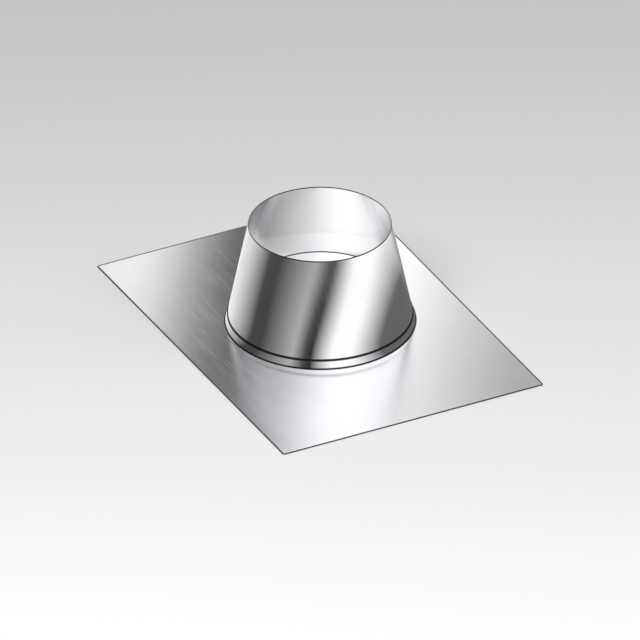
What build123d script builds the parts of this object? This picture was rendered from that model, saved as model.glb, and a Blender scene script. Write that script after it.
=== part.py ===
"""Flat-roof flashing for a round flue, in stainless sheet.

A flat plate lies on the roof. A short round sleeve stands round the plate's flue hole and keeps water
out of it. A tapered cone stands on the plate, hides the sleeve and closes in round the flue at its rim.
The foot of the cone is hemmed: its edge is folded outwards and back up against the wall.

Frame: millimetres, +Z up along the flue axis. The origin is on the flue axis, at the underside of the
plate. The plate's short sides run along X and its long sides along Y.
"""
from build123d import *
import math
import os

# Flue that passes through the flashing
flue_diameter = 240.0
flue_clearance = 2.2

# Base plate
plate_width = 500.0
plate_length = 700.0
plate_thickness = 1.0
plate_corner_radius = 4.0
plate_centre_x = -8.0
plate_centre_y = -15.0

# Sleeve round the flue hole
sleeve_height = 63.0
sleeve_thickness = 0.8

# Cone
cone_height = 192.0
cone_thickness = 0.8
cone_half_angle = 11.3
hem_width = 15.8
hem_gap = 0.4

# Worked out from the sizes above
passage_radius = flue_diameter / 2 + flue_clearance
plate_top = plate_thickness
taper = math.radians(cone_half_angle)


def make_base_plate():
    """A sheared flat sheet with round corners, and a round hole as wide as the inside of the sleeve."""
    with BuildPart() as plate:
        with BuildSketch():
            with Locations((plate_centre_x, plate_centre_y)):
                RectangleRounded(plate_width, plate_length, plate_corner_radius)
            Circle(passage_radius, mode=Mode.SUBTRACT)
        extrude(amount=plate_thickness)
    return plate.part


def make_inner_sleeve():
    """A rolled strip, butted into a tube, that stands on the plate flush with the edge of its hole."""
    with BuildPart() as sleeve:
        with BuildSketch(Plane.XY.offset(plate_top)):
            Circle(passage_radius + sleeve_thickness)
            Circle(passage_radius, mode=Mode.SUBTRACT)
        extrude(amount=sleeve_height)
    return sleeve.part


def make_cone():
    """A rolled cone wall with a hem at its foot, as one section of even thickness turned round Z.

    The section is drawn square to the wall: x points out of the wall and y points up along it. The wall's
    outer face is x = 0, and y = 0 is the height of the hem's fold, which is round outside and closed
    inside. The fold rests on the plate, and the wall is as long as it takes to reach from there to the
    rim, whose inner edge lets the flue pass as the sleeve does.
    """
    fold_middle = hem_gap / 2
    fold_radius = fold_middle + cone_thickness
    wall_length = (cone_height - fold_radius + fold_middle * math.sin(taper)) / math.cos(taper)
    wall_foot_r = passage_radius + wall_length * math.sin(taper) + cone_thickness * math.cos(taper)
    wall_foot_z = plate_top + cone_height - wall_length * math.cos(taper)
    section_plane = Plane(
        origin=(wall_foot_r, 0, wall_foot_z),
        x_dir=(math.cos(taper), 0, math.sin(taper)),
        z_dir=(0, -1, 0),
    )
    hem_face = hem_gap + cone_thickness
    hem_length = hem_width - fold_radius

    with BuildPart() as cone:
        with BuildSketch(section_plane):
            with BuildLine():
                Polyline((0, 0), (0, wall_length), (-cone_thickness, wall_length), (-cone_thickness, 0))
                ThreePointArc((-cone_thickness, 0), (fold_middle, -fold_radius), (hem_face, 0))
                Polyline((hem_face, 0), (hem_face, hem_length), (hem_gap, hem_length), (hem_gap, 0), (0, 0))
            make_face()
        revolve(axis=Axis.Z)
    return cone.part


os.makedirs("parts", exist_ok=True)
for name, solid in (
    ("base_plate", make_base_plate()),
    ("inner_sleeve", make_inner_sleeve()),
    ("cone", make_cone()),
):
    export_step(solid, f"parts/{name}.step")
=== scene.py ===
import math

import bmesh
import bpy
import numpy as np
from mathutils import Matrix, Vector


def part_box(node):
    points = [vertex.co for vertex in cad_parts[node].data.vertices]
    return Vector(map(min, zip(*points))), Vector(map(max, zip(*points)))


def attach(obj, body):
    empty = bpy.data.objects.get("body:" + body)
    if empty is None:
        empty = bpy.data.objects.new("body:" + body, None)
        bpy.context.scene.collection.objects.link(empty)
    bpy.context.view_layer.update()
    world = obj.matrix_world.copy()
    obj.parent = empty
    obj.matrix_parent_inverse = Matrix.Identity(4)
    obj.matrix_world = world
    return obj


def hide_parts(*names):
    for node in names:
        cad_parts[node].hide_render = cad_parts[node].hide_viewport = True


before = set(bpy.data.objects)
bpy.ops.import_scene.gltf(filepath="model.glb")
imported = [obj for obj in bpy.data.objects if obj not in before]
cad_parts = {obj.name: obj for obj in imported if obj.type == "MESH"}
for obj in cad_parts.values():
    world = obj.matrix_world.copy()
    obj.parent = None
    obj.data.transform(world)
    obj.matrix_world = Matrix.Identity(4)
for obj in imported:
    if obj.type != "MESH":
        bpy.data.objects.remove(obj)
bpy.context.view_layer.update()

# Places and sizes read from the frame, in metres
PLATE_LOW, PLATE_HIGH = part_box("base_plate")
SLEEVE_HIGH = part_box("inner_sleeve")[1]
CONE_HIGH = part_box("cone")[1]
PLATE_TOP = PLATE_HIGH.z
SLEEVE_OUTER = SLEEVE_HIGH.x
CONE_FOOT_OUTER = CONE_HIGH.x
RIM_Z = CONE_HIGH.z

# Sheet sizes that the boxes don't show
SHEET = 0.0008
PASSAGE_RADIUS = 0.1222
CONE_HALF_ANGLE = math.radians(11.3)
HEM_WIDTH = 0.0158
HEM_GAP = 0.0004
HEM_TOP_Z = PLATE_TOP + HEM_WIDTH * math.cos(CONE_HALF_ANGLE)
PLATE_CORNER = 0.004
BURR = 0.00015

# How far from an edge the loops lie that keep its shading flat, on the rolled sheets and on the plate
EDGE_SUPPORT = 0.0003
PLATE_SUPPORTS = (0.0005, 0.0015)

# How many points a stretch has, and the distance under which two places count as one
TURN_POINTS_CONE = 540
TURN_POINTS_SLEEVE = 360
TURN_POINTS_CARD = 96
WALL_POINTS_OUTSIDE = 40
WALL_POINTS_INSIDE = 24
HEM_POINTS_OUTSIDE = 5
HEM_POINTS_INSIDE = 3
FOLD_POINTS = 17
SLEEVE_WALL_POINTS = 8
PLATE_SIDE_POINTS = 120
PLATE_CORNER_POINTS = 9
BURR_POINTS = 4
SKY_POINTS_ROUND = 48
SKY_POINTS_UP = 16
TINY = 0.000001

# The photograph's view: straight-on parallel projection
VIEW_AZIMUTH = math.radians(-27.04)
VIEW_ELEVATION = math.radians(31.30)
VIEW_ROLL = math.radians(-0.23)
VIEW_WIDTH = 1.0941
VIEW_CENTRE = Vector((-0.0004, 0.0003, PLATE_TOP))
VIEW_DISTANCE = 4.0
VIEW_REACH = 50.0

# Directions: right in the picture, to the viewer along the floor, upright, to the viewer, up the picture
RIGHT = Vector((math.cos(VIEW_AZIMUTH), math.sin(VIEW_AZIMUTH), 0.0))
FRONT = Vector((math.sin(VIEW_AZIMUTH), -math.cos(VIEW_AZIMUTH), 0.0))
UPRIGHT = Vector((0.0, 0.0, 1.0))
TO_VIEWER = FRONT * math.cos(VIEW_ELEVATION) + UPRIGHT * math.sin(VIEW_ELEVATION)
PICTURE_UP = UPRIGHT * math.cos(VIEW_ELEVATION) - FRONT * math.sin(VIEW_ELEVATION)

# Seams of the rolled sheets: the cone's at the left edge of the view, the sleeve's where the cone hides it
SEAM_ANGLE = math.radians(144.5)
SLEEVE_SEAM_ANGLE = math.radians(-60)

# Weld beads
BEAD_HALF_WIDTH = 0.0013
BEAD_RISE = 0.00025
BEAD_PITCH = 0.0011
BEAD_GAP = 0.0006
BEAD_SWELL = 0.10
BEAD_END_POWER = 120
BEAD_SIDES = 14
CONE_BEAD_RINGS = 900
SLEEVE_BEAD_RINGS = 300

# Finish of the sheets: widths of the dull, darkened edge lines (dark lines at the cut edges, painted shade in
# the crevices at the hem's top and round the cone's foot), colours, roughness and patterns
EDGE_LINE_WIDTH = 0.0024
PLATE_EDGE_LINE_WIDTH = 0.0030
EDGE_LINE_LIMITS = (1, 2, 3)
EDGE_LINE_NONE = -9.0
EDGE_LINE_SHARPNESS = 2.5
# The edge lines darken the colour: painted shade in the crevices at the hem's top and round the cone's foot,
# and a dark line along the rim and the other cut edges
EDGE_LINE_AND_CREVICE_SHADE_DARKENING = 0.95
EDGE_LINE_ROUGHNESS = 0.2
SHEET_COLOUR = (0.742, 0.738, 0.758)
BEAD_COLOUR = (0.57, 0.54, 0.50)
PLATE_ROUGHNESS = 0.23
CONE_ROUGHNESS = 0.09
CONE_INNER_ROUGHNESS = 0.17
SLEEVE_ROUGHNESS = 0.24
BEAD_ROUGHNESS = 0.30
GRAIN_CONTRAST = 0.20
GRAIN_IN_COLOUR = 0.5
GRAIN_HEIGHT = 0.000004
MARKS_ROUGHNESS = 0.05
DIPS_SCALE = 4.0
DIPS_HEIGHT = 0.0006

# Ground and room: the floor's half side, the distance over which it pales, its greys from the front to the
# back, and the room's light as it lights and as it is seen
FLOOR_HALF = 12.0
FLOOR_DROP = 0.0003
FLOOR_FADE = 1.05
# The floor's greys paint shade onto it: darker towards the back
FLOOR_GREYS = (0.945, 0.855, 0.797, 0.728, 0.672)
WORLD_LIGHT = 0.44
WORLD_SEEN = 0.80

# Reflection cards: their sizes and places, and how far each stands off the metal
PLATE_CARD_DISTANCE = 0.95
PLATE_CARD_WIDTH = 1.8
PLATE_CARD_HEIGHT = 1.2
RING_CARD_RADIUS = 3.0
DEEP_CARD_HOLE = 0.001
DEEP_CARD_Z = -0.5
POCKET_CARD_Z = PLATE_TOP + 0.003
SLEEVE_CARD_RISE = 0.0008
SLEEVE_CARD_OFF = 0.0003
CARD_OFF = 0.0002
SKY_RADIUS = 2.5

# How much the bands lean in the picture on the cone and on the plate, sideways for each metre down
CONE_LEAN = 0.264
PLATE_LEAN = 0.25

# Fit of the places on the cards: the bearings and heights of the cone that are tried, the part of it that
# counts, up the picture from the view's centre, the weight past the back bearing, and the powers of reach,
# sine and cosine in each term
FIT_BEARING = math.radians(95)
FIT_BEARINGS = 96
FIT_HEIGHTS = 49
CONE_FIT_LOW = -0.043
CONE_FIT_HIGH = 0.116
BACK_BEARING = math.radians(130)
BACK_WEIGHT = 0.3
SKY_TERMS = [(0, 0, 0), (0, 1, 0), (0, 0, 1), (1, 0, 0), (1, 1, 0), (0, 1, 1)]
FLOOR_TERMS = SKY_TERMS + [(1, 1, 1), (2, 1, 0), (2, 0, 1)]

# Where one card's light passes into another's, in degrees of bearing or of height over the floor
FLOOR_CARD_BACK = (115, 150)
SKY_BACK = (168, 180)
SKY_FOOT = (22, 31)

# The deep card's far part, which the sleeve mirrors, the reach that the cone mirrors by itself, where the
# darker strip past it sets in, and how much both change the light
DEEP_FAR = (0.58, 0.68)
OWN_REACH = 0.35
OWN_REACH_RISE = 0.15
OWN_REACH_BEARING = 87
PAST_REACH = (0.01, 0.05)
DEEP_RIGHT = (0, 15)
DEEP_CHANGE = 0.3

# Light along the cards, as pairs of a place and the grey level that the metal shows there: 0 is black, 255
# white, and more where the finish spreads the light. The places are metres across the picture, and for the
# deep card and the back they are bearings in degrees
POCKET_GAIN = 1.2
SKY_GAIN = 1.35
SKY_BEHIND = 190
SKY_LOW = 205
PLATE_BANDS = [
    (-0.48, 125), (-0.42, 240), (-0.333, 255), (-0.20, 90), (-0.175, 0), (-0.135, 0), (-0.07, 96), (0.0, 240),
    (0.06, 300), (0.106, 266), (0.239, 205), (0.405, 143), (0.56, 140), (0.64, 270),
]
SKY_BANDS = [
    (-0.608, 225), (-0.34, 235), (-0.208, 60), (-0.178, 0), (-0.118, 0), (-0.042, 150), (-0.008, 224),
    (0.022, 276), (0.062, 282), (0.098, 260), (0.397, 175), (0.692, 160),
]
CONE_BANDS = [
    (-0.189, 245), (-0.156, 220), (-0.125, 133), (-0.113, 68), (-0.093, 66), (-0.064, 125), (-0.033, 172),
    (-0.012, 71), (0.0, 42), (0.008, 138), (0.0355, 255), (0.068, 255), (0.114, 98), (0.1535, 98),
]
DEEP_BANDS = [
    (-180, 205), (-125, 228), (-65, 262), (-42, 259), (42, 209), (84, 174), (123, 130), (180, 118),
]
SLEEVE_CARD_BANDS = [
    (-0.124, 100), (-0.078, 127), (-0.035, 192), (0.008, 253), (0.030, 266), (0.066, 229), (0.126, 205),
]
POCKET_BANDS = [
    (-0.12, 255), (-0.05, 239), (0.015, 146), (0.12, 100),
]
BACK_BANDS = [
    (-180, 205), (-163, 85), (-140, 235), (-115, 180), (115, 180), (140, 105), (160, 240), (180, 205),
]


# Meshes


def grid_mesh(name, points, close_u=False, close_v=False, uv=None):
    """A mesh from an array of points, rows along u and columns along v, with quads between neighbours that
    face along u cross v.

    close_u joins the last row to the first and close_v the last column to the first. uv is an optional
    array of one pair per point, given to each face's corners; on a closed side its last row and column
    are one past the points, so that the pattern doesn't run back over one face.
    """
    rows, columns = points.shape[:2]
    i = np.arange(rows if close_u else rows - 1)
    j = np.arange(columns if close_v else columns - 1)
    i, j = np.meshgrid(i, j, indexing="ij")
    a = i * columns + j
    b = ((i + 1) % rows) * columns + j
    c = ((i + 1) % rows) * columns + (j + 1) % columns
    d = i * columns + (j + 1) % columns
    faces = np.stack([a, b, c, d], -1).reshape(-1, 4)
    mesh = bpy.data.meshes.new(name)
    mesh.from_pydata(points.reshape(-1, 3).tolist(), [], faces.tolist())
    if uv is not None:
        corners = np.stack([uv[i, j], uv[i + 1, j], uv[i + 1, j + 1], uv[i, j + 1]], -2)
        layer = mesh.uv_layers.new(name="flat_sheet")
        layer.data.foreach_set("uv", corners.reshape(-1).astype(np.float32))
    mesh.validate()
    mesh.shade_smooth()
    return mesh


def merge_poles(mesh):
    """Makes one point of each ring that has shrunk to nothing."""
    work = bmesh.new()
    work.from_mesh(mesh)
    bmesh.ops.remove_doubles(work, verts=work.verts, dist=TINY)
    work.to_mesh(mesh)
    work.free()


def add_piece(mesh, material, node=None):
    """Links a piece to the scene, with its finish and the body it rides on."""
    piece = bpy.data.objects.new(mesh.name, mesh)
    bpy.context.scene.collection.objects.link(piece)
    mesh.materials.append(material)
    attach(piece, "root")
    if node:
        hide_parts(node)


def arc(centre, radius, start, end, count):
    """Points on a circle, centre plus radius times cosine and sine of an even run of angles."""
    t = np.radians(np.linspace(start, end, count))
    return np.stack([centre[0] + radius * np.cos(t), centre[1] + radius * np.sin(t)], -1)


def line(start, end, count):
    """Evenly spaced points from start to end, both kept."""
    t = np.linspace(0, 1, count)[:, None]
    return np.array(start) * (1 - t) + np.array(end) * t


def edge_line(start, end, count):
    """Points from start to end with one more close to each end, which keep the shading flat between them."""
    start, end = np.array(start, float), np.array(end, float)
    near = EDGE_SUPPORT / np.linalg.norm(end - start)
    t = np.concatenate([[0.0], np.linspace(near, 1 - near, count), [1.0]])[:, None]
    return start * (1 - t) + end * t


def turned(profile, count, start=0.0):
    """A closed profile of (radius, height) pairs turned round Z from the angle start: x is r cos a, y is
    r sin a and z is height."""
    a = start + np.linspace(0, 2 * math.pi, count, endpoint=False)[:, None]
    r, z = profile[None, :, 0], profile[None, :, 1]
    return np.stack([r * np.cos(a), r * np.sin(a), z + 0 * a], -1)


# Shader groups


def new_group(name, inputs, outputs):
    """An empty shader group with named sockets, each given as (name, type, default)."""
    group = bpy.data.node_groups.new(name, "ShaderNodeTree")
    for label, kind, default in inputs:
        socket = group.interface.new_socket(label, in_out="INPUT", socket_type=kind)
        if default is not None:
            socket.default_value = default
    for label, kind in outputs:
        group.interface.new_socket(label, in_out="OUTPUT", socket_type=kind)
    return group, group.nodes.new("NodeGroupInput"), group.nodes.new("NodeGroupOutput")


def math_node(tree, operation, a, b=None, clamp=False):
    """A Math node whose two inputs are sockets or numbers."""
    node = tree.nodes.new("ShaderNodeMath")
    node.operation = operation
    node.use_clamp = clamp
    for socket, value in zip(node.inputs, (a, b)):
        if isinstance(value, (int, float)):
            socket.default_value = value
        elif value is not None:
            tree.links.new(value, socket)
    return node.outputs[0]


def noise_node(tree, vector, scale, detail, roughness=0.5):
    """The value of a Noise Texture that reads the vector."""
    node = tree.nodes.new("ShaderNodeTexNoise")
    node.inputs["Scale"].default_value = scale
    node.inputs["Detail"].default_value = detail
    node.inputs["Roughness"].default_value = roughness
    tree.links.new(vector, node.inputs["Vector"])
    return node.outputs["Fac"]


def stretched(tree, vector, scale):
    """The vector times a fixed scale, so that a noise comes out drawn along the small one."""
    node = tree.nodes.new("ShaderNodeVectorMath")
    node.operation = "MULTIPLY"
    tree.links.new(vector, node.inputs[0])
    node.inputs[1].default_value = scale
    return node.outputs[0]


def total(tree, terms):
    """The sum of products, each given as a tuple of sockets or numbers."""
    result = None
    for first, *others in terms:
        product = first
        for factor in others:
            product = math_node(tree, "MULTIPLY", product, factor)
        result = product if result is None else math_node(tree, "ADD", result, product)
    return result


def length_of(tree, point):
    """A point's distance from the origin."""
    length = tree.nodes.new("ShaderNodeVectorMath")
    length.operation = "LENGTH"
    tree.links.new(point, length.inputs[0])
    return length.outputs["Value"]


def along(tree, vector, direction):
    """How far a point lies along a direction, in metres."""
    dot = tree.nodes.new("ShaderNodeVectorMath")
    dot.operation = "DOT_PRODUCT"
    tree.links.new(vector, dot.inputs[0])
    dot.inputs[1].default_value = direction
    return dot.outputs["Value"]


def make_rolled_grain():
    """Fine streaks along the second axis of Vector, as rolls leave on bright sheet, and broad faint bands."""
    group, given, out = new_group(
        "rolled_grain",
        [("Vector", "NodeSocketVector", None), ("Contrast", "NodeSocketFloat", 1.0)],
        [("Streaks", "NodeSocketFloat"), ("Height", "NodeSocketFloat")],
    )
    drawn = stretched(group, given.outputs["Vector"], (1.0, 0.012, 0.0))
    fine = noise_node(group, drawn, scale=1900.0, detail=3.0, roughness=0.6)
    drawn = stretched(group, given.outputs["Vector"], (1.0, 0.03, 0.0))
    broad = noise_node(group, drawn, scale=210.0, detail=2.0)
    centred = math_node(group, "SUBTRACT", total(group, [(fine, 0.65), (broad, 0.35)]), 0.5)
    streaks = math_node(group, "MULTIPLY", centred, given.outputs["Contrast"])
    group.links.new(streaks, out.inputs["Streaks"])
    group.links.new(fine, out.inputs["Height"])
    return group


def make_handling():
    """Cloudy patches and faint smears from hands and wiping, 0 where the sheet is clean and 1 where dull."""
    group, given, out = new_group(
        "handling_marks",
        [("Vector", "NodeSocketVector", None), ("Amount", "NodeSocketFloat", 1.0)],
        [("Dull", "NodeSocketFloat")],
    )
    cloud = noise_node(group, given.outputs["Vector"], scale=6.0, detail=4.0, roughness=0.55)
    drawn = stretched(group, given.outputs["Vector"], (1.0, 0.35, 1.0))
    smear = noise_node(group, drawn, scale=22.0, detail=3.0)
    product = math_node(group, "MULTIPLY", cloud, smear)
    spread = math_node(group, "MULTIPLY", math_node(group, "SUBTRACT", product, 0.2), 3.0, clamp=True)
    group.links.new(math_node(group, "MULTIPLY", spread, given.outputs["Amount"]), out.inputs["Dull"])
    return group


def make_oil_canning():
    """Slow dips and rises of thin sheet, as a height of 0 to 1."""
    group, given, out = new_group(
        "oil_canning",
        [("Vector", "NodeSocketVector", None), ("Scale", "NodeSocketFloat", 3.0)],
        [("Height", "NodeSocketFloat")],
    )
    node = group.nodes.new("ShaderNodeTexNoise")
    node.inputs["Detail"].default_value = 0.0
    group.links.new(given.outputs["Vector"], node.inputs["Vector"])
    group.links.new(given.outputs["Scale"], node.inputs["Scale"])
    group.links.new(node.outputs["Fac"], out.inputs["Height"])
    return group


def make_edge_lines_and_crevice_shade():
    """1 close to any of three limits of Place, and 0 from Width away on: where an edge is dull and darkened,
    a dark line at a cut edge and painted shade in a crevice.
    """
    group, given, out = new_group(
        "edge_lines_and_crevice_shade",
        [("Place", "NodeSocketFloat", 0.0), ("Width", "NodeSocketFloat", EDGE_LINE_WIDTH)]
        + [(f"Edge {i}", "NodeSocketFloat", EDGE_LINE_NONE) for i in EDGE_LINE_LIMITS],
        [("Mask", "NodeSocketFloat")],
    )
    widest = None
    for i in EDGE_LINE_LIMITS:
        apart = math_node(group, "SUBTRACT", given.outputs["Place"], given.outputs[f"Edge {i}"])
        share = math_node(group, "DIVIDE", math_node(group, "ABSOLUTE", apart), given.outputs["Width"])
        steep = math_node(group, "MULTIPLY", share, EDGE_LINE_SHARPNESS)
        mask = math_node(group, "SUBTRACT", EDGE_LINE_SHARPNESS, steep, clamp=True)
        widest = mask if widest is None else math_node(group, "MAXIMUM", widest, mask)
    group.links.new(widest, out.inputs["Mask"])
    return group


EDGE_LINES_AND_SHADE = make_edge_lines_and_crevice_shade()
GRAIN = make_rolled_grain()
HANDLING = make_handling()
CANNING = make_oil_canning()


# Materials


def stainless(name, slot_colour, roughness, flat_pattern, place_of, edges, edge_width=EDGE_LINE_WIDTH):
    """Bright stainless sheet: neutral metal with streaks, dull patches and slow dips from shader groups.

    flat_pattern reads the piece's own UV map, the sheet as it lay flat, and otherwise Object coordinates.
    place_of makes, from the tree and the Object output, the number in which edges gives the edge lines: dark
    lines at cut edges, and painted shade in the crevices at the hem's top and round the cone's foot.
    """
    material = bpy.data.materials.new(name)
    material.use_nodes = True
    tree = material.node_tree
    shader = tree.nodes["Principled BSDF"]
    place = tree.nodes.new("ShaderNodeTexCoord")
    vector = place.outputs["UV"] if flat_pattern else place.outputs["Object"]

    grain = tree.nodes.new("ShaderNodeGroup")
    grain.node_tree = GRAIN
    grain.inputs["Contrast"].default_value = GRAIN_CONTRAST
    tree.links.new(vector, grain.inputs["Vector"])
    marks = tree.nodes.new("ShaderNodeGroup")
    marks.node_tree = HANDLING
    marks.inputs["Amount"].default_value = 1.0
    tree.links.new(vector, marks.inputs["Vector"])
    dips = tree.nodes.new("ShaderNodeGroup")
    dips.node_tree = CANNING
    dips.inputs["Scale"].default_value = DIPS_SCALE
    tree.links.new(vector, dips.inputs["Vector"])

    # Edge lines: dull and darkened, a dark line at cut edges and painted crevice shade at the hem's top and
    # the cone's foot
    cut = tree.nodes.new("ShaderNodeGroup")
    cut.node_tree = EDGE_LINES_AND_SHADE
    tree.links.new(place_of(tree, place.outputs["Object"]), cut.inputs["Place"])
    cut.inputs["Width"].default_value = edge_width
    for i, edge in enumerate(edges, 1):
        cut.inputs[f"Edge {i}"].default_value = edge

    streaked = math_node(tree, "MULTIPLY", grain.outputs["Streaks"], GRAIN_IN_COLOUR)
    bright = math_node(tree, "ADD", streaked, 1.0)
    # Darkens the colour along the edge lines: painted shade in the crevices, and a dark line at the cut edges
    darker = math_node(tree, "MULTIPLY", cut.outputs["Mask"], EDGE_LINE_AND_CREVICE_SHADE_DARKENING)
    bright = math_node(tree, "MULTIPLY", bright, math_node(tree, "SUBTRACT", 1.0, darker))
    colour = tree.nodes.new("ShaderNodeVectorMath")
    colour.operation = "SCALE"
    colour.inputs[0].default_value = slot_colour
    tree.links.new(bright, colour.inputs["Scale"])
    tree.links.new(colour.outputs[0], shader.inputs["Base Color"])

    dull = total(tree, [(marks.outputs["Dull"], MARKS_ROUGHNESS), (cut.outputs["Mask"], EDGE_LINE_ROUGHNESS)])
    rough = math_node(tree, "ADD", grain.outputs["Streaks"], roughness)
    rough = math_node(tree, "ADD", rough, dull, clamp=True)
    tree.links.new(rough, shader.inputs["Roughness"])
    shader.inputs["Metallic"].default_value = 1.0

    fine = tree.nodes.new("ShaderNodeBump")
    fine.inputs["Distance"].default_value = GRAIN_HEIGHT
    tree.links.new(grain.outputs["Height"], fine.inputs["Height"])
    slow = tree.nodes.new("ShaderNodeBump")
    slow.inputs["Distance"].default_value = DIPS_HEIGHT
    tree.links.new(dips.outputs["Height"], slow.inputs["Height"])
    tree.links.new(slow.outputs["Normal"], fine.inputs["Normal"])
    tree.links.new(fine.outputs["Normal"], shader.inputs["Normal"])
    return material


def radius_of(tree, parts):
    """A point's distance from the flue axis, from its separate X and Y."""
    squares = [math_node(tree, "POWER", parts.outputs[axis], 2.0) for axis in ("X", "Y")]
    return math_node(tree, "SQRT", math_node(tree, "ADD", *squares))


def height_of(tree, point):
    """A point's height."""
    parts = tree.nodes.new("ShaderNodeSeparateXYZ")
    tree.links.new(point, parts.inputs[0])
    return parts.outputs["Z"]


def distance_on_plate(tree, point):
    """How far a point lies from the plate's outline or from the foot of the cone, in metres."""
    parts = tree.nodes.new("ShaderNodeSeparateXYZ")
    tree.links.new(point, parts.inputs[0])
    sides = []
    for axis, low, high in (("X", PLATE_LOW.x, PLATE_HIGH.x), ("Y", PLATE_LOW.y, PLATE_HIGH.y)):
        off = math_node(tree, "ABSOLUTE", math_node(tree, "SUBTRACT", parts.outputs[axis], (low + high) / 2))
        sides.append(math_node(tree, "SUBTRACT", (high - low) / 2, off))
    outline = math_node(tree, "MINIMUM", sides[0], sides[1])
    foot = math_node(tree, "ABSOLUTE", math_node(tree, "SUBTRACT", radius_of(tree, parts), CONE_FOOT_OUTER))
    return math_node(tree, "MINIMUM", outline, foot)


# The plate's edge lines: a dark line round its outline, and painted shade on the plate round the cone's foot
PLATE_STEEL = stainless(
    "plate_stainless", SHEET_COLOUR, PLATE_ROUGHNESS, False, distance_on_plate, [0.0], PLATE_EDGE_LINE_WIDTH)
# The cone's edge lines: a dark line at the rim, and painted shade in the crevices at the hem's top edge and
# at the foot
CONE_STEEL = stainless(
    "cone_stainless", SHEET_COLOUR, CONE_ROUGHNESS, True, height_of, [RIM_Z, HEM_TOP_Z, PLATE_TOP])
CONE_INNER_STEEL = stainless(
    "cone_inner_stainless", SHEET_COLOUR, CONE_INNER_ROUGHNESS, True, height_of, [RIM_Z])
BEAD_STEEL = stainless("weld_bead_stainless", BEAD_COLOUR, BEAD_ROUGHNESS, False, height_of, [])
SLEEVE_STEEL = stainless("sleeve_stainless", SHEET_COLOUR, SLEEVE_ROUGHNESS, True, height_of, [SLEEVE_HIGH.z])


# Pieces


def cone_profile():
    """The cone's section as (radius, height) pairs, drawn square to the wall and then leant in by the taper.

    In the section's own axes x points out of the wall and y up along it. The wall runs up at x from minus
    its thickness to 0, and the hem, one gap out, runs up from the round fold below y = 0.
    """
    middle = HEM_GAP / 2
    fold = middle + SHEET
    height = RIM_Z - PLATE_TOP
    length = (height - fold + middle * math.sin(CONE_HALF_ANGLE)) / math.cos(CONE_HALF_ANGLE)
    foot_r = PASSAGE_RADIUS + length * math.sin(CONE_HALF_ANGLE) + SHEET * math.cos(CONE_HALF_ANGLE)
    foot_z = RIM_Z - length * math.cos(CONE_HALF_ANGLE)
    face = HEM_GAP + SHEET
    top = HEM_WIDTH - fold
    section = np.concatenate([
        edge_line((0, 0), (0, length - BURR), WALL_POINTS_OUTSIDE)[:-1],
        arc((-BURR, length - BURR), BURR, 0, 90, BURR_POINTS),
        arc((-SHEET + BURR, length - BURR), BURR, 90, 180, BURR_POINTS),
        edge_line((-SHEET, length - BURR), (-SHEET, 0), WALL_POINTS_INSIDE)[1:-1],
        arc((middle, 0), fold, 180, 360, FOLD_POINTS),
        edge_line((face, 0), (face, top - BURR), HEM_POINTS_OUTSIDE)[1:-1],
        arc((face - BURR, top - BURR), BURR, 0, 90, BURR_POINTS),
        arc((HEM_GAP + BURR, top - BURR), BURR, 90, 180, BURR_POINTS),
        line((HEM_GAP, top - BURR), (HEM_GAP, 0), HEM_POINTS_INSIDE)[1:],
    ])
    cos, sin = math.cos(CONE_HALF_ANGLE), math.sin(CONE_HALF_ANGLE)
    radius = foot_r + section[:, 0] * cos - section[:, 1] * sin
    z = foot_z + section[:, 0] * sin + section[:, 1] * cos
    return np.stack([radius, z], -1), section[:, 0] < -SHEET + TINY


def developed(profile, count, apex_z, sine):
    """The cone's sheet laid flat: a point at slant distance s from the apex and angle a past the seam lies
    at (s sin b, s cos b), where b is a less half a turn, times the sine of the cone's half angle."""
    a = np.linspace(0, 2 * math.pi, count + 1)[:, None]
    closed = np.concatenate([profile, profile[:1]])
    slant = np.hypot(closed[:, 0], apex_z - closed[:, 1])[None, :]
    b = (a - math.pi) * sine
    return np.stack([slant * np.sin(b), slant * np.cos(b)], -1)


def make_cone(count=TURN_POINTS_CONE):
    """The cone and its hem as one folded sheet turned round Z."""
    profile, inner = cone_profile()
    apex_z = RIM_Z + PASSAGE_RADIUS / math.tan(CONE_HALF_ANGLE)
    uv = developed(profile, count, apex_z, math.sin(CONE_HALF_ANGLE))
    points = turned(profile, count, SEAM_ANGLE)
    mesh = grid_mesh("cone_shell", points, close_u=True, close_v=True, uv=uv)
    add_piece(mesh, CONE_STEEL, "cone")
    mesh.materials.append(CONE_INNER_STEEL)
    inner_columns = inner & np.roll(inner, -1)
    mesh.polygons.foreach_set("material_index", np.tile(inner_columns, count).astype(np.int32))


def make_sleeve(count=TURN_POINTS_SLEEVE):
    """A rolled strip as a tube: a rectangle with rounded edges turned round Z. Its flat sheet is angle
    times radius, and height."""
    low, high = PLATE_TOP, SLEEVE_HIGH.z
    inner, outer = PASSAGE_RADIUS, SLEEVE_OUTER
    profile = np.concatenate([
        edge_line((outer, low), (outer, high - BURR), SLEEVE_WALL_POINTS)[:-1],
        arc((outer - BURR, high - BURR), BURR, 0, 90, BURR_POINTS),
        arc((inner + BURR, high - BURR), BURR, 90, 180, BURR_POINTS),
        edge_line((inner, high - BURR), (inner, low), SLEEVE_WALL_POINTS)[1:],
    ])
    a = np.linspace(0, 2 * math.pi, count + 1)[:, None]
    closed = np.concatenate([profile, profile[:1]])
    uv = np.stack([a * inner + 0 * closed[None, :, 1], closed[None, :, 1] + 0 * a], -1)
    points = turned(profile, count, SLEEVE_SEAM_ANGLE)
    mesh = grid_mesh("sleeve_shell", points, close_u=True, close_v=True, uv=uv)
    add_piece(mesh, SLEEVE_STEEL, "inner_sleeve")


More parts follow.
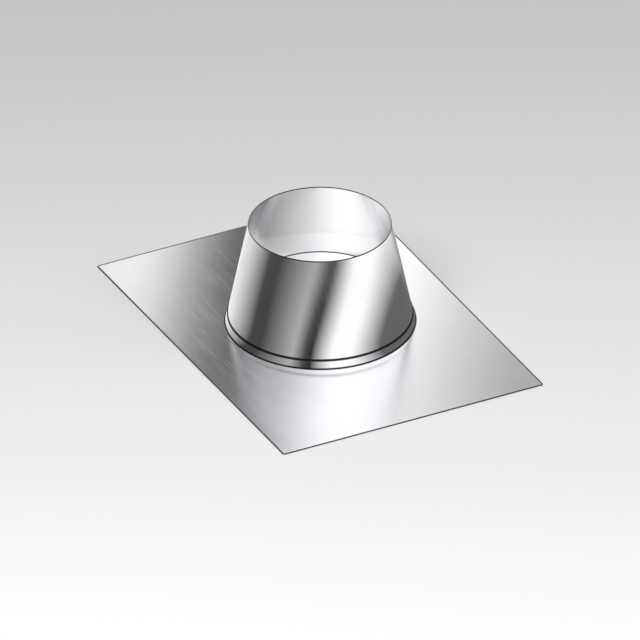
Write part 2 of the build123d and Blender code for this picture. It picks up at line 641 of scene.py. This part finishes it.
def plate_outline(inset):
    """The plate's edge drawn inwards by inset: four straight sides and four corner arcs, anticlockwise."""
    x0, y0, x1, y1 = PLATE_LOW.x, PLATE_LOW.y, PLATE_HIGH.x, PLATE_HIGH.y
    c, r = PLATE_CORNER, PLATE_CORNER - inset
    return np.concatenate([
        line((x1 - inset, y0 + c), (x1 - inset, y1 - c), PLATE_SIDE_POINTS)[1:-1],
        arc((x1 - c, y1 - c), r, 0, 90, PLATE_CORNER_POINTS),
        line((x1 - c, y1 - inset), (x0 + c, y1 - inset), PLATE_SIDE_POINTS)[1:-1],
        arc((x0 + c, y1 - c), r, 90, 180, PLATE_CORNER_POINTS),
        line((x0 + inset, y1 - c), (x0 + inset, y0 + c), PLATE_SIDE_POINTS)[1:-1],
        arc((x0 + c, y0 + c), r, 180, 270, PLATE_CORNER_POINTS),
        line((x0 + c, y0 + inset), (x1 - c, y0 + inset), PLATE_SIDE_POINTS)[1:-1],
        arc((x1 - c, y0 + c), r, 270, 360, PLATE_CORNER_POINTS),
    ])


def make_plate():
    """The flat plate: its round hole's edge joined to its outline by faces that run straight out.

    Each column is one loop at one height. A hole loop is a circle of the passage radius plus an inset, at
    the bearings of the outline's own points, and the cut edges are rounded by a quarter arc.
    """
    low, high = PLATE_LOW.z, PLATE_HIGH.z
    bearing = np.arctan2(plate_outline(0)[:, 1], plate_outline(0)[:, 0])
    unit = np.stack([np.cos(bearing), np.sin(bearing)], -1)
    columns = []

    def loop(flat, z):
        """Adds the column that holds a flat loop at a height."""
        columns.append(np.concatenate([flat, np.full((len(flat), 1), z)], -1))

    quarter = np.radians(np.linspace(0, 90, BURR_POINTS))
    rounding = [(BURR * (1 - math.cos(t)), BURR * (1 - math.sin(t))) for t in quarter]
    for inset, drop in rounding:
        loop(unit * (PASSAGE_RADIUS + inset), high - drop)
    for inset in PLATE_SUPPORTS:
        loop(unit * (PASSAGE_RADIUS + inset), high)
    for inset in PLATE_SUPPORTS[::-1]:
        loop(plate_outline(inset), high)
    for inset, drop in rounding[::-1]:
        loop(plate_outline(inset), high - drop)
    for inset, drop in rounding:
        loop(plate_outline(inset), low + drop)
    for inset in PLATE_SUPPORTS:
        loop(plate_outline(inset), low)
    for inset in PLATE_SUPPORTS[::-1]:
        loop(unit * (PASSAGE_RADIUS + inset), low)
    for inset, drop in rounding[::-1]:
        loop(unit * (PASSAGE_RADIUS + inset), low + drop)
    points = np.stack(columns, 1)[::-1]
    mesh = grid_mesh("plate_shell", points, close_u=True, close_v=True)
    add_piece(mesh, PLATE_STEEL, "base_plate")


def make_seam_bead(name, angle, foot, head, face_radius, count):
    """A butt weld's bead along a sheet's seam: a flattened tube, proud of both faces, whose section is an
    ellipse that shrinks to a point at both ends and swells and shrinks a little with every ripple.

    foot and head are the (radius, height) ends of the wall's middle line, and face_radius the ellipse's
    half height, square to the wall.
    """
    foot, head = np.array(foot), np.array(head)
    run = head - foot
    length = np.linalg.norm(run)
    run = run / length
    s = np.linspace(0, 1, count)
    ends = np.sqrt(np.clip(1 - np.abs(2 * s - 1) ** BEAD_END_POWER, 0, 1))
    ripple = 1 + BEAD_SWELL * np.cos(2 * math.pi * s * length / BEAD_PITCH)
    t = np.linspace(0, 2 * math.pi, BEAD_SIDES, endpoint=False)[None, :]
    across = BEAD_HALF_WIDTH * (ends * ripple)[:, None] * np.cos(t)
    out = face_radius * (ends * ripple)[:, None] * np.sin(t)
    middle = foot[None, :] + run[None, :] * (s * length)[:, None]
    r = middle[:, :1] + out * run[1]
    z = middle[:, 1:] - out * run[0]
    x = r * math.cos(angle) - across * math.sin(angle)
    y = r * math.sin(angle) + across * math.cos(angle)
    mesh = grid_mesh(name, np.stack([x, y, z], -1), close_v=True)
    merge_poles(mesh)
    add_piece(mesh, BEAD_STEEL)


def make_beads():
    """The seams of the cone, above the hem, and of the sleeve."""
    taper = math.tan(CONE_HALF_ANGLE)
    middle = PASSAGE_RADIUS + SHEET / 2

    def wall(z):
        """The middle of the cone's wall at a height."""
        return middle + (RIM_Z - z) * taper, z

    make_seam_bead(
        "cone_seam_bead", SEAM_ANGLE, wall(HEM_TOP_Z + BEAD_GAP), wall(RIM_Z - BEAD_GAP),
        SHEET / 2 + BEAD_RISE, CONE_BEAD_RINGS,
    )
    make_seam_bead(
        "sleeve_seam_bead", SLEEVE_SEAM_ANGLE, (middle, PLATE_TOP + BEAD_GAP),
        (middle, SLEEVE_HIGH.z - BEAD_GAP), SHEET / 2 + BEAD_RISE, SLEEVE_BEAD_RINGS,
    )


# Studio


def make_camera():
    """A parallel camera that looks at the foot of the flue axis."""
    data = bpy.data.cameras.new("camera")
    data.type = "ORTHO"
    data.ortho_scale = VIEW_WIDTH
    data.clip_end = VIEW_REACH
    camera = bpy.data.objects.new("camera", data)
    bpy.context.scene.collection.objects.link(camera)
    turn = TO_VIEWER.to_track_quat("Z", "Y").to_matrix().to_4x4() @ Matrix.Rotation(VIEW_ROLL, 4, "Z")
    camera.matrix_world = Matrix.Translation(VIEW_CENTRE + TO_VIEWER * VIEW_DISTANCE) @ turn
    bpy.context.scene.camera = camera


def toward(azimuth, elevation):
    """The unit vector at an azimuth, 0 along -Y and 90 along +X, and an elevation, both in degrees."""
    a, e = math.radians(azimuth), math.radians(elevation)
    return Vector((math.sin(a) * math.cos(e), -math.cos(a) * math.cos(e), math.sin(e)))


def soft_lamp(name, azimuth, elevation, distance, size, watts):
    """A square area lamp that faces the object."""
    data = bpy.data.lights.new(name, "AREA")
    data.size = size
    data.energy = watts
    lamp = bpy.data.objects.new(name, data)
    bpy.context.scene.collection.objects.link(lamp)
    direction = toward(azimuth, elevation)
    lamp.location = direction * distance
    lamp.rotation_mode = "QUATERNION"
    lamp.rotation_quaternion = direction.to_track_quat("Z", "Y")
    lamp.visible_glossy = False


def grey_of(level):
    """The light that a card sends for the metal to show a grey level, by the standard screen curve and past
    the metal's own colour."""
    share = level / 255
    linear = share / 12.92 if share <= 0.04045 else ((share + 0.055) / 1.055) ** 2.4
    return linear / SHEET_COLOUR[0]


def card_tree(name):
    """An empty card material: its tree and a Texture Coordinate node's Object output."""
    material = bpy.data.materials.new(name)
    material.use_nodes = True
    tree = material.node_tree
    tree.nodes.clear()
    place = tree.nodes.new("ShaderNodeTexCoord")
    return material, tree, place.outputs["Object"]


def ramp_node(tree, value, stops):
    """A straight-line ramp of greys through (value, grey) pairs, from the least value to the most."""
    low, high = stops[0][0], stops[-1][0]
    share = tree.nodes.new("ShaderNodeMapRange")
    share.inputs["From Min"].default_value = low
    share.inputs["From Max"].default_value = high
    tree.links.new(value, share.inputs["Value"])
    ramp = tree.nodes.new("ShaderNodeValToRGB")
    elements = ramp.color_ramp.elements
    while len(elements) < len(stops):
        elements.new(0.5)
    for element, (place, grey) in zip(elements, stops):
        element.position = (place - low) / (high - low)
        element.color = (grey, grey, grey, 1.0)
    tree.links.new(share.outputs["Result"], ramp.inputs["Fac"])
    return ramp.outputs["Color"]


def grey_ramp(tree, value, bands, gain=1.0):
    """A card's light through (value, grey level) pairs. The ramp's colours hold the light over the most."""
    most = max(grey_of(level) for _, level in bands)
    share = ramp_node(tree, value, [(place, grey_of(level) / most) for place, level in bands])
    return math_node(tree, "MULTIPLY", share, most * gain)


def card_light(tree, strength, one_sided=False):
    """Ends a card's tree in white light of the given strength. A one-sided card is clear from behind."""
    light = tree.nodes.new("ShaderNodeEmission")
    tree.links.new(strength, light.inputs["Strength"])
    out = tree.nodes.new("ShaderNodeOutputMaterial")
    surface = light.outputs[0]
    if one_sided:
        side = tree.nodes.new("ShaderNodeNewGeometry")
        mix = tree.nodes.new("ShaderNodeMixShader")
        tree.links.new(side.outputs["Backfacing"], mix.inputs["Fac"])
        tree.links.new(surface, mix.inputs[1])
        tree.links.new(tree.nodes.new("ShaderNodeBsdfTransparent").outputs[0], mix.inputs[2])
        surface = mix.outputs[0]
    tree.links.new(surface, out.inputs["Surface"])


def reflection_only(mesh, material):
    """Stages a card that only mirrored light meets: it is no lamp, has no shadow and isn't in the picture."""
    mesh.materials.append(material)
    card = bpy.data.objects.new(mesh.name, mesh)
    bpy.context.scene.collection.objects.link(card)
    card.visible_camera = False
    card.visible_diffuse = False
    card.visible_shadow = False
    card.visible_transmission = False


def cone_samples():
    """Points all over the viewer's side of the cone's outside, and their outward normals."""
    turn = np.linspace(-FIT_BEARING, FIT_BEARING, FIT_BEARINGS)
    turn, z = np.meshgrid(turn, np.linspace(PLATE_TOP, RIM_Z, FIT_HEIGHTS))
    turn, z = turn.ravel(), z.ravel()[:, None]
    upright = np.array(UPRIGHT)
    radial = np.outer(np.sin(turn), RIGHT) + np.outer(np.cos(turn), FRONT)
    radius = PASSAGE_RADIUS + SHEET + (RIM_Z - z) * math.tan(CONE_HALF_ANGLE)
    normals = radial * math.cos(CONE_HALF_ANGLE) + upright * math.sin(CONE_HALF_ANGLE)
    return radial * radius + upright * z, normals


def mirrored(direction, normals):
    """A direction mirrored by each of the normals: less twice its part along the normal."""
    return direction - 2 * (normals @ direction)[:, None] * normals


def powers_of(bearing, reach, terms):
    """One column for each term: the product of reach, sin h and cos h, each to the term's power, where h is
    half the bearing."""
    half = bearing / 2
    return np.stack([reach ** a * np.sin(half) ** b * np.cos(half) ** c for a, b, c in terms], -1)


def fitted(hits, reach, places, weights, terms):
    """The numbers by which the terms give the places best, by least squares over the mirrored hits."""
    bearing = np.arctan2(hits @ np.array(RIGHT), hits @ np.array(FRONT))
    weights = weights * np.where(np.abs(bearing) < BACK_BEARING, 1.0, BACK_WEIGHT)
    table = powers_of(bearing, reach, terms) * weights[:, None]
    return np.linalg.lstsq(table, places * weights, rcond=None)[0].tolist()


def place_in_picture(points, lean):
    """How far right points stand in the picture, and how far down times the bands' lean, in metres."""
    return points @ np.array(RIGHT) - lean * ((points - np.array(VIEW_CENTRE)) @ np.array(PICTURE_UP))


def fit_floor():
    """Where in the picture the cone shows each place of the floor card, for the logarithm of its distance."""
    points, normals = cone_samples()
    view = -np.array(TO_VIEWER)
    ways = mirrored(view, normals)
    high = (points - np.array(VIEW_CENTRE)) @ np.array(PICTURE_UP)
    kept = (ways[:, 2] < 0) & (normals @ view < 0) & (high > CONE_FIT_LOW) & (high < CONE_FIT_HIGH)
    points, ways, faced = points[kept], ways[kept], -(normals @ view)[kept]
    hits = points + ways * ((PLATE_TOP - points[:, 2]) / ways[:, 2])[:, None]
    reach = np.log(np.hypot(hits[:, 0], hits[:, 1]))
    return fitted(hits, reach, place_in_picture(points, CONE_LEAN), np.sqrt(faced), FLOOR_TERMS)


def fit_sky():
    """Where in the picture the cone's mirrored image in the plate shows each place of the sky card, for its
    height over the card's radius."""
    points, normals = cone_samples()
    rising = np.array(TO_VIEWER) * np.array([-1, -1, 1])
    ways = mirrored(rising, normals)
    seen = points - rising * ((points[:, 2] - PLATE_TOP) / rising[2])[:, None]
    low, high = np.array(PLATE_LOW), np.array(PLATE_HIGH)
    on_plate = np.all((seen[:, :2] > low[:2]) & (seen[:, :2] < high[:2]), -1)
    kept = (ways[:, 2] > 0) & (normals @ rising < 0) & on_plate
    points, ways, seen, faced = points[kept], ways[kept], seen[kept], -(normals @ rising)[kept]
    along_way = np.sum(points * ways, -1)
    length = np.sqrt(along_way ** 2 - np.sum(points ** 2, -1) + SKY_RADIUS ** 2) - along_way
    hits = points + ways * length[:, None]
    places = place_in_picture(seen, PLATE_LEAN)
    return fitted(hits, hits[:, 2] / SKY_RADIUS, places, np.sqrt(faced), SKY_TERMS)


def make_plate_card():
    """The card that the plate mirrors: a flat one behind and above the object, square to the mirrored view.

    Its light is a leaning ramp over metres to the right plus, times the lean, metres along the card's own
    upward axis, which shows as down in the plate.
    """
    material, tree, point = card_tree("plate_card_light")
    rise = FRONT * math.sin(VIEW_ELEVATION) + UPRIGHT * math.cos(VIEW_ELEVATION)
    back = UPRIGHT * math.sin(VIEW_ELEVATION) - FRONT * math.cos(VIEW_ELEVATION)
    card_light(tree, grey_ramp(tree, along(tree, point, RIGHT + rise * PLATE_LEAN), PLATE_BANDS))
    half_width, half_height = PLATE_CARD_WIDTH / 2, PLATE_CARD_HEIGHT / 2
    u = np.array([[-half_width, half_width], [-half_width, half_width]])[..., None]
    v = np.array([[-half_height, -half_height], [half_height, half_height]])[..., None]
    points = u * np.array(RIGHT) + v * np.array(rise) + np.array(back) * PLATE_CARD_DISTANCE
    reflection_only(grid_mesh("plate_card", points), material)


def bearing_of(tree, point):
    """The bearing of a point round the flue axis, in degrees: 0 towards the viewer and 90 to the right."""
    turn = math_node(tree, "ARCTAN2", along(tree, point, RIGHT), along(tree, point, FRONT))
    return math_node(tree, "MULTIPLY", turn, 180 / math.pi)


def across_picture(tree, point, reach, terms, numbers):
    """Where the metal that mirrors a card's point stands in the picture, in metres: the sum of the numbers
    times their terms, as powers_of has them."""
    half = math_node(tree, "MULTIPLY", bearing_of(tree, point), math.radians(0.5))
    sine = math_node(tree, "SINE", half)
    cosine = math_node(tree, "COSINE", half)
    products = []
    for (a, b, c), number in zip(terms[1:], numbers[1:]):
        products.append([reach] * a + [sine] * b + [cosine] * c + [number])
    return math_node(tree, "ADD", total(tree, products), numbers[0])


def step_node(tree, value, start, end):
    """0 up to start, 1 from end, and smooth between."""
    node = tree.nodes.new("ShaderNodeMapRange")
    node.interpolation_type = "SMOOTHSTEP"
    node.inputs["From Min"].default_value = start
    node.inputs["From Max"].default_value = end
    tree.links.new(value, node.inputs["Value"])
    return node.outputs["Result"]


def mixed(tree, first, second, share):
    """The first light where share is 0 and the second where it is 1."""
    return total(tree, [(first, math_node(tree, "SUBTRACT", 1.0, share)), (second, share)])


def ring_mesh(name, inner, outer, z):
    """A flat ring round the flue axis that faces up."""
    a = np.linspace(0, 2 * math.pi, TURN_POINTS_CARD, endpoint=False)[:, None]
    radii = np.array([outer, inner])[None, :]
    points = np.stack([radii * np.cos(a), radii * np.sin(a), z + 0 * a * radii], -1)
    return grid_mesh(name, points, close_u=True)


def make_floor_card():
    """The card that the cone mirrors. It lies just over the plate and round it, and is clear from below, so
    that the plate mirrors what is above it."""
    material, tree, point = card_tree("floor_card_light")
    reach = math_node(tree, "LOGARITHM", length_of(tree, point), math.e)
    light = grey_ramp(tree, across_picture(tree, point, reach, FLOOR_TERMS, fit_floor()), CONE_BANDS)
    bearing = bearing_of(tree, point)
    behind = grey_ramp(tree, bearing, BACK_BANDS)
    share = step_node(tree, math_node(tree, "ABSOLUTE", bearing), *FLOOR_CARD_BACK)
    card_light(tree, mixed(tree, light, behind, share), one_sided=True)
    ring = ring_mesh("floor_card", CONE_FOOT_OUTER - CARD_OFF, RING_CARD_RADIUS, PLATE_TOP + CARD_OFF)
    reflection_only(ring, material)


def make_deep_card():
    """The card that the inside of the cone mirrors, down through the flue hole. Its light goes by bearing.

    The far part, which the sleeve shows the viewer, is brighter. On the right, the strip just past the reach
    that the cone mirrors by itself is darker: the cone mirrors it by way of the sleeve. That reach is
    OWN_REACH plus OWN_REACH_RISE times the square of the bearing over OWN_REACH_BEARING.
    """
    material, tree, point = card_tree("deep_card_light")
    bearing = bearing_of(tree, point)
    light = grey_ramp(tree, bearing, DEEP_BANDS)
    reach = length_of(tree, stretched(tree, point, (1.0, 1.0, 0.0)))
    far = step_node(tree, reach, *DEEP_FAR)
    turn = math_node(tree, "MULTIPLY", bearing, 1 / OWN_REACH_BEARING)
    own_reach = math_node(tree, "ADD", total(tree, [(turn, turn, OWN_REACH_RISE)]), OWN_REACH)
    past = step_node(tree, math_node(tree, "SUBTRACT", reach, own_reach), *PAST_REACH)
    right = step_node(tree, bearing, *DEEP_RIGHT)
    by_sleeve = total(tree, [(past, right, math_node(tree, "SUBTRACT", 1.0, far))])
    change = total(tree, [(far, DEEP_CHANGE), (by_sleeve, -DEEP_CHANGE)])
    card_light(tree, math_node(tree, "MULTIPLY", light, math_node(tree, "ADD", change, 1.0)))
    reflection_only(ring_mesh("deep_card", DEEP_CARD_HOLE, RING_CARD_RADIUS, DEEP_CARD_Z), material)


def make_sky_card():
    """The tent over the object, a half ball with the plate's bands, so that the cone's mirrored image in the
    plate keeps to them."""
    material, tree, point = card_tree("sky_card_light")
    height = math_node(tree, "DIVIDE", along(tree, point, UPRIGHT), SKY_RADIUS)
    across = across_picture(tree, point, height, SKY_TERMS, fit_sky())
    light = grey_ramp(tree, across, SKY_BANDS, SKY_GAIN)
    side = step_node(tree, math_node(tree, "ABSOLUTE", bearing_of(tree, point)), *SKY_BACK)
    light = mixed(tree, light, grey_of(SKY_BEHIND), side)
    raised = step_node(tree, height, *[math.sin(math.radians(angle)) for angle in SKY_FOOT])
    card_light(tree, mixed(tree, grey_of(SKY_LOW), light, raised))
    a = np.linspace(0, 2 * math.pi, SKY_POINTS_ROUND, endpoint=False)[:, None]
    e = np.linspace(0, math.pi / 2, SKY_POINTS_UP)[None, :]
    points = SKY_RADIUS * np.stack([np.cos(a) * np.cos(e), np.sin(a) * np.cos(e), np.sin(e) + 0 * a], -1)
    reflection_only(grid_mesh("sky_card", points, close_u=True), material)


def make_pocket_cards():
    """Two cards in the pocket between the sleeve and the cone, for the inside of the cone to mirror: one
    along the sleeve's outside, past its edge, and a flat ring low down, which its two sides mirror."""
    near = SLEEVE_OUTER + SLEEVE_CARD_OFF
    material, tree, point = card_tree("sleeve_card_light")
    card_light(tree, grey_ramp(tree, along(tree, point, RIGHT), SLEEVE_CARD_BANDS))
    profile = np.array([(near, POCKET_CARD_Z), (near, SLEEVE_HIGH.z + SLEEVE_CARD_RISE)])
    reflection_only(grid_mesh("sleeve_card", turned(profile, TURN_POINTS_CARD), close_u=True), material)
    material, tree, point = card_tree("pocket_card_light")
    card_light(tree, grey_ramp(tree, along(tree, point, RIGHT), POCKET_BANDS, POCKET_GAIN))
    wall = PASSAGE_RADIUS + (RIM_Z - POCKET_CARD_Z) * math.tan(CONE_HALF_ANGLE)
    reflection_only(ring_mesh("pocket_card", near, wall - CARD_OFF, POCKET_CARD_Z), material)


def make_floor():
    """A pale floor, a shade darker towards the back, as the photograph's plain ground is."""
    u = np.array([[-FLOOR_HALF, -FLOOR_HALF], [FLOOR_HALF, FLOOR_HALF]])
    v = np.array([[-FLOOR_HALF, FLOOR_HALF], [-FLOOR_HALF, FLOOR_HALF]])
    mesh = grid_mesh("floor", np.stack([u, v, 0 * u - FLOOR_DROP], -1))
    material = bpy.data.materials.new("floor_paint")
    material.use_nodes = True
    tree = material.node_tree
    shader = tree.nodes["Principled BSDF"]
    shader.inputs["Roughness"].default_value = 0.9
    shader.inputs["Specular IOR Level"].default_value = 0.0
    place = tree.nodes.new("ShaderNodeTexCoord")
    # Painted shade: the floor's colour darkens towards the back
    places = np.linspace(-FLOOR_FADE, FLOOR_FADE, len(FLOOR_GREYS)).tolist()
    colour = ramp_node(tree, along(tree, place.outputs["Object"], -FRONT), list(zip(places, FLOOR_GREYS)))
    tree.links.new(colour, shader.inputs["Base Color"])
    mesh.materials.append(material)
    floor = bpy.data.objects.new("floor", mesh)
    bpy.context.scene.collection.objects.link(floor)
    floor.visible_glossy = False


def make_world():
    """Even white light, seen by the camera, metal and glass as a pale ground."""
    world = bpy.data.worlds.new("studio")
    world.use_nodes = True
    tree = world.node_tree
    path = tree.nodes.new("ShaderNodeLightPath")
    seen = path.outputs["Is Camera Ray"]
    for kind in ("Is Glossy Ray", "Is Transmission Ray"):
        seen = math_node(tree, "MAXIMUM", seen, path.outputs[kind])
    more = math_node(tree, "MULTIPLY", seen, WORLD_SEEN - WORLD_LIGHT)
    strength = math_node(tree, "ADD", more, WORLD_LIGHT)
    tree.nodes["Background"].inputs["Color"].default_value = (1.0, 1.0, 1.0, 1.0)
    tree.links.new(strength, tree.nodes["Background"].inputs["Strength"])
    bpy.context.scene.world = world


make_plate()
make_cone()
make_sleeve()
make_beads()
make_camera()
make_floor()
make_world()
soft_lamp("key_lamp", azimuth=-60, elevation=55, distance=4.5, size=2.4, watts=97)
soft_lamp("fill_lamp", azimuth=45, elevation=45, distance=4.5, size=3.0, watts=52)
make_plate_card()
make_floor_card()
make_deep_card()
make_sky_card()
make_pocket_cards()

scene = bpy.context.scene
scene.view_settings.view_transform = "Standard"
